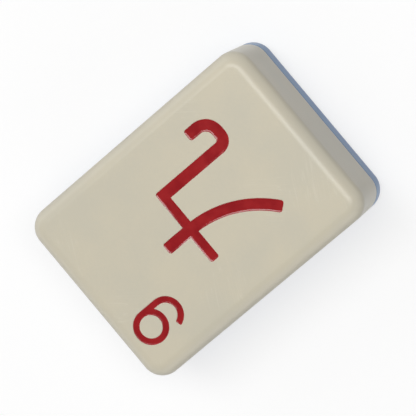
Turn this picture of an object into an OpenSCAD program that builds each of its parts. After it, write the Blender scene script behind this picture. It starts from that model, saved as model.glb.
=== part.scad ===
// Two-layer mahjong tile, lying on its back with its face up.
// A pale face block and a blue back plate are bonded face to face, and the marks on the face are
// engraved and filled with red enamel. Millimetres. The origin is on the table under the middle of
// the tile, +X is the reader's right, +Y is the top of the tile as it is read, and +Z is out of the face.

/* [Tile] */
// Width of the tile, across the face
tile_w = 22; // [21:0.5:28]
// Length of the tile, along the face
tile_l = 30; // [29:0.5:38]
// Thickness of the tile, from the flat of its back to its face
tile_t = 13; // [11:0.5:20]
// Radius of the four corners, seen square on to the face
corner_r = 2.3; // [2:0.1:3]
// Radius of the round along the edges of the face and of the back
edge_r = 1.6; // [1:0.1:1.9]

/* [Layers] */
// Thickness of the blue back plate
back_t = 3.7; // [2.5:0.1:6]
// Thickness of the adhesive film between the plate and the face block
bond_t = 0.1; // [0.05:0.01:0.2]

/* [Engraving] */
// Depth of the engraved marks below the face
engrave_depth = 0.4; // [0.3:0.05:0.8]
// How far the enamel stops short of the face
fill_sunk = 0.1; // [0.05:0.01:0.2]

/* [Character] */
// Width of the character's strokes
stroke_w = 1.3; // [0.8:0.05:1.5]
// Width of the crossbar, which is a little finer
bar_w = 1.1; // [0.7:0.05:1.5]
// Height of the crossbar above the middle of the face
bar_rise = 1.2; // [0.5:0.05:2]
// Length of the crossbar, from its left end to the leg
bar_l = 8.55; // [7:0.1:10]
// Distance of the upright leg to the right of the middle of the face
leg_right = 3.8; // [3:0.05:4.5]
// Straight length of the leg below the crossbar
leg_l = 8; // [6:0.05:8.5]
// Inside radius of the bend at the foot of the leg
heel_r = 0.3; // [0.1:0.05:0.6]
// Straight length of the foot
foot_l = 0.55; // [0.2:0.05:1]
// Inside radius of the bend into the hook
hook_r = 0.9; // [0.5:0.05:1.2]
// Length of the hook above its bend
hook_l = 1.3; // [0.8:0.05:2]
// Distance of the sweeping stroke's head to the left of the middle of the face
sweep_left = 0.7; // [0:0.1:1.5]
// Length of the sweeping stroke's straight head, above the crossbar
sweep_head_l = 3.4; // [2:0.05:4]
// Inside radius of the sweeping stroke below the crossbar
sweep_r = 11.1; // [9:0.05:14]
// Angle through which the sweeping stroke turns
sweep_turn = 51; // [35:1:52]

/* [Numeral] */
// Width of the numeral's strokes
numeral_w = 0.7; // [0.5:0.05:0.9]
// Inside radius of the numeral's bowl and of its tail
bowl_r = 1.25; // [1:0.05:1.4]
// Straight length of the numeral's stem
stem_l = 2.1; // [1.8:0.05:2.6]
// Angle through which the numeral's tail turns
tail_turn = 165; // [120:5:175]
// Space from the round along the tile's end to the top of the numeral
numeral_end = 0.2; // [0.05:0.05:0.5]
// Space from the round along the tile's side to the numeral
numeral_side = 1.65; // [0.5:0.05:2]

/* [Hidden] */
$fn = 96;
// Distance by which a cut runs on past the surface that it opens
overrun = 0.5;
quarter_turn = 90;
half_turn = 2 * quarter_turn;
full_turn = 4 * quarter_turn;
// The straight stretches of the outline, between its corners
straight_w = tile_w - 2 * corner_r;
straight_l = tile_l - 2 * corner_r;
// Levels of the layers above the table
bond_z = back_t;
face_block_z = bond_z + bond_t;
face_t = tile_t - face_block_z;
engrave_z = tile_t - engrave_depth;
fill_t = engrave_depth - fill_sunk;
// Middle of the numeral's bowl, from the edges of the flat of the face
numeral_x = -tile_w / 2 + edge_r + numeral_side + bowl_r + numeral_w;
numeral_y = tile_l / 2 - edge_r - numeral_end - bowl_r - numeral_w;
ivory = [0.90, 0.88, 0.80];
blue = [0.20, 0.46, 0.70];
adhesive = [0.86, 0.84, 0.76];
red = [0.66, 0.11, 0.12];

// Section of a layer's edge: an upright wall that rounds over into the flat
module edge_section(thickness) {
    square([corner_r, thickness - edge_r]);
    square([corner_r - edge_r, thickness]);
    translate([corner_r - edge_r, thickness - edge_r])
        intersection() {
            circle(edge_r);
            square(edge_r);
        }
}

// A layer of the tile: the section given runs along each side and turns each corner
module layer(thickness) {
    translate([-straight_w / 2, -straight_l / 2, 0])
        cube([straight_w, straight_l, thickness]);
    for (side = [0:3]) {
        along = side % 2 == 0 ? straight_l : straight_w;
        out = side % 2 == 0 ? straight_w : straight_l;
        rotate(side * quarter_turn)
            translate([out / 2, along / 2, 0]) {
                rotate([quarter_turn, 0, 0])
                    linear_extrude(along)
                        children();
                rotate_extrude(angle = quarter_turn)
                    children();
            }
    }
}

// Straight stretch of a stroke, from the origin along +Y
module run(length, width, height) {
    translate([-width / 2, 0, 0])
        cube([width, length, height]);
}

// Curved stretch of a stroke, about the origin, anticlockwise from +X
module bend(inner_r, turn, width, height) {
    rotate_extrude(angle = turn)
        translate([inner_r, 0])
            square([width, height]);
}

// Crossbar, leg, foot and hook, cut in one path
module hooked_stroke(height) {
    half = stroke_w / 2;
    heel_c = heel_r + half;
    hook_c = hook_r + half;
    foot_y = -leg_l - heel_c;
    bend_x = heel_c + foot_l;
    hook_y = foot_y + hook_c;
    translate([leg_right, bar_rise, 0]) {
        translate([half, 0, 0])
            rotate(quarter_turn)
                run(half + bar_l, bar_w, height);
        rotate(half_turn)
            run(leg_l, stroke_w, height);
        translate([heel_c, -leg_l, 0])
            rotate(half_turn)
                bend(heel_r, quarter_turn, stroke_w, height);
        translate([heel_c, foot_y, 0])
            rotate(-quarter_turn)
                run(foot_l, stroke_w, height);
        translate([bend_x, hook_y, 0])
            rotate(-quarter_turn)
                bend(hook_r, quarter_turn, stroke_w, height);
        translate([bend_x + hook_c, hook_y, 0])
            run(hook_l, stroke_w, height);
    }
}

// The stroke that crosses the bar and then sweeps down to the left
module sweeping_stroke(height) {
    translate([-sweep_left, bar_rise, 0]) {
        run(sweep_head_l, stroke_w, height);
        translate([-sweep_r - stroke_w / 2, 0, 0])
            mirror([0, 1, 0])
                bend(sweep_r, sweep_turn, stroke_w, height);
    }
}

// The character: both strokes, from the floor of the engraving up
module character(height) {
    translate([0, 0, engrave_z]) {
        hooked_stroke(height);
        sweeping_stroke(height);
    }
}

// The numeral in the corner: a closed bowl, a stem and a tail
module numeral(height) {
    translate([numeral_x, numeral_y, engrave_z]) {
        bend(bowl_r, full_turn, numeral_w, height);
        translate([bowl_r + numeral_w / 2, 0, 0])
            rotate(half_turn)
                run(stem_l, numeral_w, height);
        translate([0, -stem_l, 0])
            mirror([0, 1, 0])
                bend(bowl_r, tail_turn, numeral_w, height);
    }
}

// Pale block with the engraved face
module face_block() {
    color(ivory)
        difference() {
            translate([0, 0, face_block_z])
                layer(face_t)
                    edge_section(face_t);
            character(engrave_depth + overrun);
            numeral(engrave_depth + overrun);
        }
}

// Blue plate, rounded towards the table
module back_plate() {
    color(blue)
        translate([0, 0, back_t])
            mirror([0, 0, 1])
                layer(back_t)
                    edge_section(back_t);
}

// Adhesive between plate and block, flush with the sides
module bond_film() {
    color(adhesive)
        translate([0, 0, bond_z])
            layer(bond_t)
                square([corner_r, bond_t]);
}

// Enamel in the character
module character_fill() {
    color(red)
        character(fill_t);
}

// Enamel in the numeral
module numeral_fill() {
    color(red)
        numeral(fill_t);
}

face_block();
back_plate();
bond_film();
character_fill();
numeral_fill();
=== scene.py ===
# %% [markdown]
# # A two-layer mahjong tile
#
# The tile is a pale block with an engraved face, bonded to a blue back plate, and the engraved marks
# are filled with red enamel. The solids come from a CAD model at their real size. This lesson models
# the surfaces that a camera sees: rounds that shine, a rim that is no longer sharp, enamel that climbs
# the walls of its groove, and the finishes of resin, adhesive and paint.

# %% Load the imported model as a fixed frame
import math

import bmesh
import bpy
from mathutils import Color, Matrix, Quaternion, Vector


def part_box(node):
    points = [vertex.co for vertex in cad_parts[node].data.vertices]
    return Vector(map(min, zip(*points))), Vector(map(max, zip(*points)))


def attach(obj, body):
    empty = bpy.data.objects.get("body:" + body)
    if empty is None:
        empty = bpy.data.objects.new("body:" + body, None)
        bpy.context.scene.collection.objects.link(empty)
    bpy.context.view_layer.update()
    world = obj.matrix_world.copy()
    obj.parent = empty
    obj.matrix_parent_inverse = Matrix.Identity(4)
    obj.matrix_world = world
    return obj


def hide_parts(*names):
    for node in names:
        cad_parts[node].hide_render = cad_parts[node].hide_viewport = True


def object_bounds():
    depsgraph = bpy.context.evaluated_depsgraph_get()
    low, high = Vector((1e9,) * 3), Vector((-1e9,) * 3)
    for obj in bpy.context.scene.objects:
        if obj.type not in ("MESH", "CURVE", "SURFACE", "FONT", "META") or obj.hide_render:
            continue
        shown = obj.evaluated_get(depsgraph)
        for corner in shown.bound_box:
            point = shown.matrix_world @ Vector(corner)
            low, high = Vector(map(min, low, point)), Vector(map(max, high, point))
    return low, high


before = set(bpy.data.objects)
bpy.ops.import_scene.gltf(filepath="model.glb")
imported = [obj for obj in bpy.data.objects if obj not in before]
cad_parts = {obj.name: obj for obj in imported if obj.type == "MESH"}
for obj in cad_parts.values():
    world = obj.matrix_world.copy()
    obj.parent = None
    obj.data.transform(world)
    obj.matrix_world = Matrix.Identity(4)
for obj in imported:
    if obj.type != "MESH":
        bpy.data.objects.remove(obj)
cad_low, cad_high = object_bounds()
print("CAD box, metres:", list(cad_low), list(cad_high))

# %% [markdown]
# ## Sizes that come from the frame
#
# Every size that the CAD model already has is read off its nodes, so the pieces made here fit it by
# themselves. The round along the edge of the face is the distance from the side of the tile to the rim
# of the flat. The round of the corners, seen from above, is the distance from the end of the tile to
# the end of its straight side.

# %% Read the layers' boxes and the two rounds
MM = 0.001
# Points that are this close, in millimetres, count as being in one place
TOUCH = 0.001


def node_box(node):
    """The lowest and highest corners of a CAD node, in millimetres."""
    low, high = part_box(node)
    return low / MM, high / MM


def reach(node, axis, level_axis, level):
    """How far a node reaches along one axis, among its points at a level of another axis."""
    points = [vertex.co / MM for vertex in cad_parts[node].data.vertices]
    return max(point[axis] for point in points if abs(point[level_axis] - level) < TOUCH)


X, Y, Z = range(3)
face_low, face_high = node_box("face_block")
back_low, back_high = node_box("back_plate")
bond_low, bond_high = node_box("bond_film")
EDGE_ROUND = face_high.x - reach("face_block", X, Z, face_high.z)
CORNER_ROUND = face_high.y - reach("face_block", Y, X, face_high.x)
print("edge round", round(EDGE_ROUND, 3), "mm, corner round", round(CORNER_ROUND, 3), "mm")

# %% [markdown]
# ## Working at a thousand times the size
#
# Blender's modelling tools have built-in tolerances that suit objects a metre across, and a bevel of a
# few hundredths of a millimetre is near them. So each piece is modelled with one unit to the millimetre
# and scaled down once, at its end. Edges and faces are picked in code by their place, because there is
# no mouse here: a small test is given each one, and those that pass are selected. An operator acts on all
# that is selected, and the CAD nodes come selected, so everything is deselected first.

# %% Helpers for modelling in edit mode


def deselect_all():
    """Leaves edit mode and deselects every object."""
    if bpy.context.object and bpy.context.object.mode != "OBJECT":
        bpy.ops.object.mode_set(mode="OBJECT")
    bpy.ops.object.select_all(action="DESELECT")


def activate(piece):
    """Makes this piece the only selected object, in object mode."""
    deselect_all()
    piece.select_set(True)
    bpy.context.view_layer.objects.active = piece


def select(piece, kind, test):
    """Opens the piece in edit mode, with those of its EDGE or FACE elements selected that pass a test."""
    activate(piece)
    bpy.ops.object.mode_set(mode="EDIT")
    bpy.ops.mesh.select_mode(type=kind)
    bpy.ops.mesh.select_all(action="DESELECT")
    cage = bmesh.from_edit_mesh(piece.data)
    elements = cage.edges if kind == "EDGE" else cage.faces
    chosen = [element for element in elements if test(element)]
    for element in chosen:
        element.select_set(True)
    bmesh.update_edit_mesh(piece.data)
    return len(chosen)


def is_upright(edge):
    """True for an edge that stands straight up."""
    one, other = (vertex.co for vertex in edge.verts)
    return (one.xy - other.xy).length < TOUCH and abs(one.z - other.z) > TOUCH


def at_level(element, level):
    """True for an edge or face that lies in the plane at this height."""
    return all(abs(vertex.co.z - level) < TOUCH for vertex in element.verts)


deselect_all()
print("selected:", len(bpy.context.selected_objects))

# %% [markdown]
# ## A layer of the tile
#
# Both layers are pressed blocks that were tumbled until their edges were round. A cube becomes one in
# three bevels: first the four upright edges, for the corners, then the loop around the outer face, for
# the soft edge that catches the light, and last a hair-thin break along the seam. A subdivided cube
# could give a softer form, but its sides would bulge, and these are flat and straight.

# %% Model a rounded layer from a cube
CORNER_STEPS = 20
EDGE_STEPS = 16
SEAM_BREAK = 0.05
SEAM_STEPS = 3


def bevel(width, steps):
    """Rounds the selected edges."""
    bpy.ops.mesh.bevel(offset=width, segments=steps, affect="EDGES", clamp_overlap=False)


def add_slab(name, low, high):
    """A cube brought to the box between two corners, with its four upright edges rounded."""
    deselect_all()
    bpy.ops.mesh.primitive_cube_add(size=1, location=(low + high) / 2, scale=high - low)
    bpy.ops.object.transform_apply(location=True, rotation=True, scale=True)
    slab = bpy.context.object
    slab.name = name
    select(slab, "EDGE", is_upright)
    bevel(CORNER_ROUND, CORNER_STEPS)
    return slab


def add_layer(name, low, high, outer_z, seam_z):
    """A slab with a soft edge round its outer face and a fine break along the seam."""
    layer = add_slab(name, low, high)
    select(layer, "EDGE", lambda edge: at_level(edge, outer_z))
    bevel(EDGE_ROUND, EDGE_STEPS)
    select(layer, "EDGE", lambda edge: at_level(edge, seam_z))
    bevel(SEAM_BREAK, SEAM_STEPS)
    activate(layer)
    print(name, len(layer.data.polygons), "faces")
    return layer


face_block = add_layer("face_block_polished", face_low, face_high, face_high.z, face_low.z)
back_plate = add_layer("back_plate_polished", back_low, back_high, back_low.z, back_high.z)

# %% [markdown]
# ## The bond line
#
# The film of adhesive between the layers shows only as a line round the tile. A line of colour on one of
# the layers could stand for it, but a thin slab stays a piece of its own, with a real edge. It stops a
# little short of the sides, where the cured adhesive was buffed away with the rest.

# %% Model the film
FILM_SUNK = 0.03
film_inset = Vector((FILM_SUNK, FILM_SUNK, 0))
bond_line = add_slab("bond_line", bond_low + film_inset, bond_high - film_inset)
activate(bond_line)
print("bond_line", len(bond_line.data.polygons), "faces")

# %% [markdown]
# ## The strokes
#
# The CAD model holds the outline of each mark, as the solid of enamel that fills it. A copy of that
# solid is the best start for both the groove and its filling, because then they can't disagree. The
# copy comes as loose triangles, so its points are merged and its flat faces made whole. A round cutter
# can't leave a square end, so the outer corners of the strokes are rounded. The inner ones, where two
# strokes cross, stay sharp, as a cutter leaves them.

# %% Make a blank of each mark
MERGE_DISTANCE = 0.0005
FLAT_ANGLE = math.radians(0.5)
STROKE_CORNER_ANGLE = math.radians(60)
STROKE_CORNER_STEPS = 6


def is_stroke_corner(edge):
    """True for an outer corner of a stroke."""
    return is_upright(edge) and edge.is_convex and edge.calc_face_angle(0) > STROKE_CORNER_ANGLE


def add_blank(name, node, corner_round):
    """A clean copy of a CAD node in millimetres, with the outer corners of its strokes rounded."""
    blank = bpy.data.objects.new(name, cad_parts[node].data.copy())
    bpy.context.collection.objects.link(blank)
    activate(blank)
    blank.data.materials.clear()
    bpy.ops.mesh.customdata_custom_splitnormals_clear()
    blank.scale = Vector((1, 1, 1)) / MM
    bpy.ops.object.transform_apply(location=True, rotation=True, scale=True)
    select(blank, "FACE", lambda face: True)
    bpy.ops.mesh.remove_doubles(threshold=MERGE_DISTANCE)
    bpy.ops.mesh.dissolve_limited(angle_limit=FLAT_ANGLE)
    corners = select(blank, "EDGE", is_stroke_corner)
    bevel(corner_round, STROKE_CORNER_STEPS)
    select(blank, "FACE", lambda face: True)
    bpy.ops.mesh.remove_doubles(threshold=MERGE_DISTANCE)
    activate(blank)
    print(name, len(blank.data.polygons), "faces,", corners, "rounded corners")
    return blank


CHARACTER_CORNER = 0.3
NUMERAL_CORNER = 0.15
character = add_blank("character_enamel", "character_fill", CHARACTER_CORNER)
numeral = add_blank("numeral_enamel", "numeral_fill", NUMERAL_CORNER)

# %% [markdown]
# ## The engraving
#
# The marks are cut into the face. A bump map could suggest that, but it has no wall and casts no shadow,
# so each blank is copied, its top is raised past the face, and a boolean cuts it from the block. Polishing
# takes the sharpness off the rim of the groove, and that thin round is what shows the marks as cut and
# not printed, so the rim gets a bevel of its own.

# %% Cut the grooves and soften their rims
CUT_OVERRUN = 1.0
RIM_ROUND = 0.07
RIM_STEPS = 3


def engrave(block, blank):
    """Cuts a blank's outline into the block, down to the blank's own floor."""
    activate(blank)
    bpy.ops.object.duplicate()
    cutter = bpy.context.object
    top = max(vertex.co.z for vertex in cutter.data.vertices)
    select(cutter, "FACE", lambda face: at_level(face, top))
    bpy.ops.transform.translate(value=(0, 0, CUT_OVERRUN))
    activate(block)
    cut = block.modifiers.new("engraving", "BOOLEAN")
    cut.operation = "DIFFERENCE"
    cut.solver = "EXACT"
    cut.object = cutter
    bpy.ops.object.modifier_apply(modifier=cut.name)
    bpy.data.objects.remove(cutter)


def is_groove_rim(edge):
    """True for an edge between the face and the wall of a groove."""
    if not at_level(edge, face_high.z):
        return False
    return any(abs(face.normal.z) < TOUCH for face in edge.link_faces)


for mark in (character, numeral):
    engrave(face_block, mark)
rim_edges = select(face_block, "EDGE", is_groove_rim)
bevel(RIM_ROUND, RIM_STEPS)
activate(face_block)
print("face block", len(face_block.data.polygons), "faces,", rim_edges, "rim edges")

# %% [markdown]
# ## The enamel
#
# Enamel shrinks as it dries. It keeps its hold on the walls of the groove and sinks in the middle, so
# its surface is a shallow trough. It could be sculpted, but an inset follows the outline by itself: the
# top of each blank is raised a little, then inset twice, each time lower, which is the section of that
# trough. The insets together stay narrower than the round of the stroke's corners, because past it an
# inset folds over itself.

# %% Let the enamel sink in the middle
CLIMB = 0.05
TROUGH_SHARES = (0.3, 0.45)
TROUGH_DROPS = (0.035, 0.025)


def sink_enamel(blank, corner_round):
    """Gives the top of a blank the shallow trough of dried enamel."""
    top = max(vertex.co.z for vertex in blank.data.vertices)
    select(blank, "FACE", lambda face: at_level(face, top))
    bpy.ops.transform.translate(value=(0, 0, CLIMB))
    for share, drop in zip(TROUGH_SHARES, TROUGH_DROPS):
        bpy.ops.mesh.inset(thickness=share * corner_round, depth=-drop)
    activate(blank)
    print(blank.name, len(blank.data.polygons), "faces")


sink_enamel(character, CHARACTER_CORNER)
sink_enamel(numeral, NUMERAL_CORNER)

# %% [markdown]
# ## Finish the meshes
#
# Smooth shading alone would bend the light on the flats next to a round. A Weighted Normal modifier
# lets the large flat faces set the direction, so the flats stay flat and only the rounds turn. Then each
# piece is scaled to metres, rides on the tile's one body and takes the place of its CAD solid.

# %% Shade, scale and seat each piece
SMOOTH_ANGLE = math.radians(40)
BODY = "root"


def seat(piece, node):
    """Shades a piece, scales it to metres and lets it stand for its CAD node."""
    activate(piece)
    bpy.ops.object.shade_smooth_by_angle(angle=SMOOTH_ANGLE)
    weighting = piece.modifiers.new("flat faces lead", "WEIGHTED_NORMAL")
    weighting.keep_sharp = True
    bpy.ops.object.modifier_apply(modifier=weighting.name)
    piece.scale = Vector((MM, MM, MM))
    bpy.ops.object.transform_apply(location=True, rotation=True, scale=True)
    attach(piece, BODY)
    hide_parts(node)
    print(piece.name, "stands for", node)


seat(face_block, "face_block")
seat(back_plate, "back_plate")
seat(bond_line, "bond_film")
seat(character, "character_fill")
seat(numeral, "numeral_fill")

# %% [markdown]
# ## Shader maths as plain expressions
#
# A finish is a handful of patterns that are added, multiplied and faded into each other. Wiring Math
# nodes by hand hides that, so a small class wraps a socket, and its operators add the nodes. Every other
# node comes from one method, which takes the node's type, its settings and what its sockets get.

# %% A class for a value that varies


class Value:
    """A number or colour that varies over a surface. Its operators add nodes to its finish."""

    def __init__(self, finish, socket):
        self.finish = finish
        self.socket = socket

    def math(self, operation, *terms):
        """What a Math node makes of these terms."""
        return self.finish.node("ShaderNodeMath", {"operation": operation}, dict(enumerate(terms)))

    def __add__(self, other):
        return self.math("ADD", self, other)

    def __sub__(self, other):
        return self.math("SUBTRACT", self, other)

    def __rsub__(self, other):
        return self.math("SUBTRACT", other, self)

    def __mul__(self, other):
        return self.math("MULTIPLY", self, other)

    def __abs__(self):
        return self.math("ABSOLUTE", self)

    __radd__ = __add__
    __rmul__ = __mul__

    def at_least(self, other):
        """This value, or the other one where that is larger."""
        return self.math("MAXIMUM", self, other)

    def at_most(self, other):
        """This value, or the other one where that is smaller."""
        return self.math("MINIMUM", self, other)

    def fade(self, start, end):
        """0 up to start and 1 from end on, with a soft change between. Start may be the larger one."""
        settings = {"interpolation_type": "SMOOTHSTEP"}
        sockets = {"Value": self, "From Min": start, "From Max": end}
        return self.finish.node("ShaderNodeMapRange", settings, sockets)

    def blend(self, one, other):
        """A colour that goes from one to the other as this value goes from 0 to 1."""
        sockets = {"Factor_Float": self, "A_Color": one, "B_Color": other}
        return self.finish.node("ShaderNodeMix", {"data_type": "RGBA"}, sockets, "Result_Color")


# %% A class for the nodes of a finish


def find_socket(sockets, key):
    """The socket with that identifier or, if there is none, with that name or number."""
    by_identifier = {socket.identifier: socket for socket in sockets}
    return by_identifier[key] if key in by_identifier else sockets[key]


class Finish:
    """The nodes of a material or of the world, added one by one."""

    def __init__(self, owner):
        owner.use_nodes = True
        self.owner = owner
        self.tree = owner.node_tree
        self.tree.nodes.clear()

    def node(self, kind, settings, sockets, output=0):
        """Adds a node, sets it up, fills or links its sockets and returns one of its outputs."""
        made = self.tree.nodes.new(kind)
        for name, setting in settings.items():
            setattr(made, name, setting)
        for key, value in sockets.items():
            socket = find_socket(made.inputs, key)
            if isinstance(value, Value):
                self.tree.links.new(value.socket, socket)
            else:
                socket.default_value = value
        return Value(self, find_socket(made.outputs, output)) if made.outputs else None

    def surface(self, sockets):
        """Ends a material in a Principled shader and returns it."""
        shader = self.node("ShaderNodeBsdfPrincipled", {}, sockets)
        self.node("ShaderNodeOutputMaterial", {}, {"Surface": shader})
        return self.owner


# %% [markdown]
# ## Patterns at their real size
#
# All patterns read Object coordinates, which here are metres on the tile, and are scaled so that their
# sizes can be written in millimetres. A scratch is a thin line where a noise that is drawn out along one
# direction passes through its middle value. Seen from its end such a line is a speck, so each set of
# scratches is kept to the flats that it runs along. Flats and rounds are told apart by their normals: on
# a flat one part of the normal is 1, and on a round none is.

# %% Clouds of a size


def noise(finish, size, detail=0.0, stretch=1.0, turn=0.0):
    """A cloudy pattern with blobs of this size in millimetres, drawn out along X if stretched."""
    metres = finish.node("ShaderNodeTexCoord", {}, {}, "Object")
    turned = finish.node("ShaderNodeMapping", {}, {"Vector": metres, "Rotation": (0, 0, turn)})
    blobs_per_metre = 1 / (size * MM)
    scale = (blobs_per_metre / stretch, blobs_per_metre, blobs_per_metre)
    place = finish.node("ShaderNodeMapping", {}, {"Vector": turned, "Scale": scale})
    return finish.node("ShaderNodeTexNoise", {}, {"Vector": place, "Scale": 1.0, "Detail": detail})


# %% Flats and rounds


def facing(finish, axis):
    """1 on a face that is square to this axis, and less the more it turns away."""
    normal = finish.node("ShaderNodeTexCoord", {}, {}, "Normal")
    return abs(finish.node("ShaderNodeSeparateXYZ", {}, {0: normal}, axis))


def turn_away(finish):
    """0 on a face that is square to any axis, rising on the rounds between such faces."""
    x, y, z = (facing(finish, axis) for axis in "XYZ")
    return 1 - x.at_least(y).at_least(z)


# %% Scratches in patches
NOISE_MIDDLE = 0.5
SCRATCH_SPACING = 0.5
SCRATCH_LENGTH = 9.0
SCRATCH_FINENESS = 0.02
STREAK_DETAIL = 1.0
PATCH_DETAIL = 2.0
# A fade is a pair of values: a mask begins to show at the first and is whole at the second
PATCH_FADE = (0.5, 0.62)
FLAT_FADE = (0.97, 0.995)


def scratches(finish, axis, turn):
    """A mask of fine scratches in patches, on the flats that are square to an axis."""
    stretch = SCRATCH_LENGTH / SCRATCH_SPACING
    streak = noise(finish, SCRATCH_SPACING, STREAK_DETAIL, stretch, turn)
    line = abs(streak - NOISE_MIDDLE).fade(SCRATCH_FINENESS, 0)
    patch = noise(finish, SCRATCH_LENGTH, PATCH_DETAIL, turn=turn).fade(*PATCH_FADE)
    return line * patch * facing(finish, axis).fade(*FLAT_FADE)


print("scratches about", SCRATCH_LENGTH, "mm long and", SCRATCH_SPACING, "mm apart")

# %% Relief and colour
SCREEN_WHITE = 255


def relief(finish, height):
    """The normal of a surface with this height in millimetres."""
    return finish.node("ShaderNodeBump", {}, {"Strength": 1.0, "Distance": MM, "Height": height})


def srgb(red, green, blue):
    """A colour as a screen shows it, from 0 to 255, in the linear values that shaders take."""
    shares = [part / SCREEN_WHITE for part in (red, green, blue)]
    return [*Color(shares).from_srgb_to_scene_linear(), 1.0]


print("white on a screen is", srgb(SCREEN_WHITE, SCREEN_WHITE, SCREEN_WHITE))

# %% [markdown]
# ## Cast resin
#
# Both layers are cast resin that was tumbled and polished. Close to, its tone drifts a little, it has a
# faint grain, and play has left hairline scratches on it, while the rounds are rubbed bright. Its polish
# isn't a mirror: it has the slow wave and the fine peel of a moulded surface. A flat colour with one
# roughness would look like a rendering of paint.

# %% Describe the resin
CLOUD = {"size": 6.0, "detail": 3.0}
GRAIN = {"size": 0.3, "detail": 2.0}
PEEL = {"size": 0.9, "detail": 1.0}
WAVE = {"size": 5.0}
ALONG_X = 0.0
ALONG_Y = math.pi / 2
WALL_SCRATCHES = (("X", ALONG_Y), ("Y", ALONG_X))
GRAIN_SHARE = 0.2
TONE_FADE = (0.3, 0.7)
RUBBED_FADE = (0.02, 0.2)
RUBBED_SHARE = 0.5
SCRATCHED_SHARE = 0.3
GRAIN_ROUGHNESS = 0.06
SCRATCH_ROUGHNESS = 0.12
RUBBED_POLISH = 0.03
PEEL_HEIGHT = 0.0025
WAVE_HEIGHT = 0.012
SCRATCH_DEPTH = 0.002
PLASTIC_IOR = 1.5


def resin(name, tones, worn_tone, roughness, scratch_turns):
    """A cast and polished resin, between two tones, paler where it is rubbed or scratched."""
    finish = Finish(bpy.data.materials.new(name))
    grain = noise(finish, **GRAIN)
    tone = noise(finish, **CLOUD) * (1 - GRAIN_SHARE) + grain * GRAIN_SHARE
    rubbed = turn_away(finish).fade(*RUBBED_FADE)
    runs = WALL_SCRATCHES + tuple(("Z", turn) for turn in scratch_turns)
    scratched = sum(scratches(finish, axis, turn) for axis, turn in runs)
    worn = rubbed * RUBBED_SHARE + scratched * SCRATCHED_SHARE
    height = noise(finish, **PEEL) * PEEL_HEIGHT + noise(finish, **WAVE) * WAVE_HEIGHT
    gloss = grain * GRAIN_ROUGHNESS + scratched * SCRATCH_ROUGHNESS - rubbed * RUBBED_POLISH
    return finish.surface({
        "Base Color": worn.blend(tone.fade(*TONE_FADE).blend(*tones), worn_tone),
        "Roughness": roughness + gloss,
        "Normal": relief(finish, height - scratched * SCRATCH_DEPTH),
        "IOR": PLASTIC_IOR,
    })


print("resin with clouds of", CLOUD["size"], "mm and a grain of", GRAIN["size"], "mm")

# %% [markdown]
# ## The pale layer and the blue layer
#
# The block is the colour of ivory, and the plate is dyed blue all through and a little glossier. Both
# resins are so dense that light hardly goes into them, so neither needs Subsurface.

# %% Give each layer its resin
IVORY_TONES = (srgb(205, 199, 180), srgb(211, 203, 181))
IVORY_WORN = srgb(220, 214, 196)
IVORY_ROUGHNESS = 0.31
IVORY_SCRATCH_TURNS = (0.5, -0.9)
BLUE_TONES = (srgb(47, 112, 172), srgb(55, 119, 178))
BLUE_WORN = srgb(82, 141, 195)
BLUE_ROUGHNESS = 0.3
BLUE_SCRATCH_TURNS = (0.2, 1.3)

ivory = resin("ivory_resin", IVORY_TONES, IVORY_WORN, IVORY_ROUGHNESS, IVORY_SCRATCH_TURNS)
blue = resin("blue_resin", BLUE_TONES, BLUE_WORN, BLUE_ROUGHNESS, BLUE_SCRATCH_TURNS)
face_block.data.materials.append(ivory)
back_plate.data.materials.append(blue)
print(ivory.name, "on", face_block.name, "and", blue.name, "on", back_plate.name)

# %% [markdown]
# ## The adhesive
#
# The film shows only as a hairline between the layers, a little darker than the resin where dust has
# settled in it. One soft noise makes the dust, because no more could be seen on so thin a line.

# %% Give the film its finish
DUST = {"size": 1.5, "detail": 3.0}
DUST_FADE = (0.35, 0.65)
FILM_CLEAN = srgb(176, 171, 152)
FILM_DUSTY = srgb(146, 144, 132)
FILM_ROUGHNESS = 0.4
DUST_ROUGHNESS = 0.2


def cured_adhesive():
    """A satin adhesive with dust along it."""
    finish = Finish(bpy.data.materials.new("cured_adhesive"))
    dust = noise(finish, **DUST).fade(*DUST_FADE)
    return finish.surface({
        "Base Color": dust.blend(FILM_CLEAN, FILM_DUSTY),
        "Roughness": FILM_ROUGHNESS + dust * DUST_ROUGHNESS,
        "IOR": PLASTIC_IOR,
    })


bond_line.data.materials.append(cured_adhesive())
print("adhesive on", bond_line.name)

# %% [markdown]
# ## The enamel
#
# The enamel is a red paint that was brushed into the grooves. It lies thick in the middle of a stroke,
# where it is deepest in colour, and thin where it climbs the walls. The slope of the trough tells the
# two apart, so no mask has to be painted by hand. The gloss changes where the paint pooled, and the
# surface has a slight ripple.

# %% Give the marks their finish
POOL = {"size": 1.6, "detail": 2.0}
POOL_FADE = (0.3, 0.7)
THIN_FADE = (0.005, 0.08)
THIN_SHARE = 0.5
ENAMEL_TONES = (srgb(146, 20, 27), srgb(162, 27, 31))
ENAMEL_THIN = srgb(176, 46, 50)
ENAMEL_ROUGHNESS = 0.15
POOL_ROUGHNESS = 0.06
RIPPLE = {"size": 0.8, "detail": 1.0}
RIPPLE_HEIGHT = 0.01


def red_enamel():
    """A glossy paint, darker where it lies thick."""
    finish = Finish(bpy.data.materials.new("red_enamel"))
    pool = noise(finish, **POOL).fade(*POOL_FADE)
    thin = turn_away(finish).fade(*THIN_FADE) * THIN_SHARE
    return finish.surface({
        "Base Color": thin.blend(pool.blend(*ENAMEL_TONES), ENAMEL_THIN),
        "Roughness": ENAMEL_ROUGHNESS + pool * POOL_ROUGHNESS,
        "Normal": relief(finish, noise(finish, **RIPPLE) * RIPPLE_HEIGHT),
        "IOR": PLASTIC_IOR,
    })


enamel = red_enamel()
for mark in (character, numeral):
    mark.data.materials.append(enamel)
    print(enamel.name, "on", mark.name)

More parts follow.
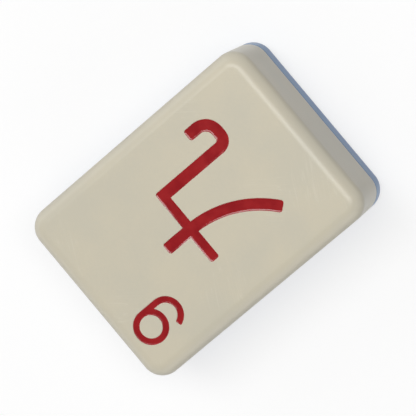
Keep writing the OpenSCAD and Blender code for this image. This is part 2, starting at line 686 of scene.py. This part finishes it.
# %% [markdown]
# ## A pale floor
#
# The tile lies on a plain sheet, a hair below its back so that the two don't flicker into each other.
# Seen directly or in a reflection, the sheet is lifted to white. The light that it throws up at the tile
# isn't lifted, so the sides keep their shade, and the sheet still takes the tile's shadow.

# %% Lay the floor
FLOOR_SIZE = 4.0
FLOOR_GAP = 0.01 * MM
FLOOR_COLOUR = srgb(160, 160, 160)
FLOOR_LIFT = 0.67


def seen_rays(finish):
    """1 for rays that come from the camera, a gloss or a glass, and 0 for those that carry light."""
    kinds = ("Is Camera Ray", "Is Glossy Ray", "Is Transmission Ray")
    seen = sum(finish.node("ShaderNodeLightPath", {}, {}, kind) for kind in kinds)
    return seen.at_most(1)


def floor_sheet():
    """A matt sheet that is lifted to white where it is seen."""
    finish = Finish(bpy.data.materials.new("floor_sheet"))
    return finish.surface({
        "Base Color": FLOOR_COLOUR,
        "Roughness": 1.0,
        "Specular IOR Level": 0.0,
        "Emission Color": seen_rays(finish) * FLOOR_LIFT,
        "Emission Strength": 1.0,
    })


deselect_all()
bpy.ops.mesh.primitive_plane_add(size=FLOOR_SIZE, location=(0, 0, -FLOOR_GAP))
floor = bpy.context.object
floor.name = "floor"
floor.data.materials.append(floor_sheet())
print("floor", FLOOR_SIZE, "m wide")

# %% [markdown]
# ## The sky
#
# An even sky fills the shadows. It is white where it is seen near the horizon, so that a low view has a
# white background too, and it is darker overhead, where the face of the tile mirrors it: a white sky
# there would lay a grey veil over the red.

# %% Set the sky
SKY_LEVEL = 0.15
SWEEP_FADE = (0.4, 0.1)
WHITE = (1, 1, 1, 1)


def sky():
    """A world that gives even light, and shows white near the horizon."""
    finish = Finish(bpy.data.worlds.new("sky"))
    way = finish.node("ShaderNodeTexCoord", {}, {}, "Generated")
    sweep = finish.node("ShaderNodeSeparateXYZ", {}, {0: way}, "Z").fade(*SWEEP_FADE)
    strength = SKY_LEVEL + seen_rays(finish) * sweep * (1 - SKY_LEVEL)
    light = finish.node("ShaderNodeBackground", {}, {"Color": WHITE, "Strength": strength})
    finish.node("ShaderNodeOutputWorld", {}, {"Surface": light})
    return finish.owner


bpy.context.scene.world = sky()
print("sky of strength", SKY_LEVEL)

# %% [markdown]
# ## Soft lamps
#
# A lamp overhead, a little to the near right, gives the face its even light and draws the pale line
# along the round at the near end. Broad lamps light the long sides, the right one a little more, and a
# larger, dimmer one lights the far end. A flat face mirrors what stands opposite the camera, and a small,
# bright lamp there would lay a glare over the red. The power of the lamps is set so that a colour comes
# out about as written.

# %% Hang the lamps
CENTRE = (cad_low + cad_high) / 2
LAMP_DISTANCE = 0.5


def direction(azimuth, elevation):
    """The unit vector from the tile to a lamp or camera. At azimuth 0 it is on the near side, -Y."""
    turn = math.radians(azimuth)
    rise = math.radians(elevation)
    flat = math.cos(rise)
    return Vector((math.sin(turn) * flat, -math.cos(turn) * flat, math.sin(rise)))


def hang_lamp(name, azimuth, elevation, width, height, power):
    """A rectangular area lamp that faces the tile, with sizes in metres and power in watts."""
    back = direction(azimuth, elevation)
    bpy.ops.object.light_add(type="AREA", location=CENTRE + back * LAMP_DISTANCE)
    lamp = bpy.context.object
    lamp.name = name
    lamp.rotation_euler = back.to_track_quat("Z", "Y").to_euler()
    lamp.data.shape = "RECTANGLE"
    lamp.data.size = width
    lamp.data.size_y = height
    lamp.data.energy = power
    print(name, "at", [round(part, 3) for part in lamp.location])


hang_lamp("overhead", azimuth=40, elevation=76, width=0.5, height=0.16, power=1.75)
hang_lamp("right_side", azimuth=105, elevation=25, width=0.5, height=0.5, power=0.6)
hang_lamp("left_side", azimuth=255, elevation=25, width=0.5, height=0.5, power=0.55)
hang_lamp("far_side", azimuth=180, elevation=28, width=0.7, height=0.42, power=0.25)

# %% [markdown]
# ## The camera
#
# The tile is seen almost square on, from a little towards its lower end, so that end shows as a narrow
# wall, and the picture is turned so that the top of the tile points to the lower left. A short lens from
# close by could frame it too, but a long one keeps the sides nearly parallel. The lens follows from the
# width that the picture takes in at that distance. Both are in metres, and the sensor in millimetres.

# %% Place the camera
VIEW_AZIMUTH = -5.5
VIEW_ELEVATION = 75.0
VIEW_TURN = math.radians(124.6)
VIEW_DISTANCE = 0.31
VIEW_WIDTH = 0.044
SENSOR = 36.0

view_back = direction(VIEW_AZIMUTH, VIEW_ELEVATION)
bpy.ops.object.camera_add(location=CENTRE + view_back * VIEW_DISTANCE)
camera = bpy.context.object
camera.rotation_mode = "QUATERNION"
upright = (-view_back).to_track_quat("-Z", "Y")
camera.rotation_quaternion = upright @ Quaternion((0, 0, 1), -VIEW_TURN)
camera.data.sensor_width = SENSOR
camera.data.lens = SENSOR * VIEW_DISTANCE / VIEW_WIDTH
bpy.context.scene.camera = camera
bpy.context.scene.view_settings.view_transform = "Standard"
print("lens", round(camera.data.lens, 1), "mm")
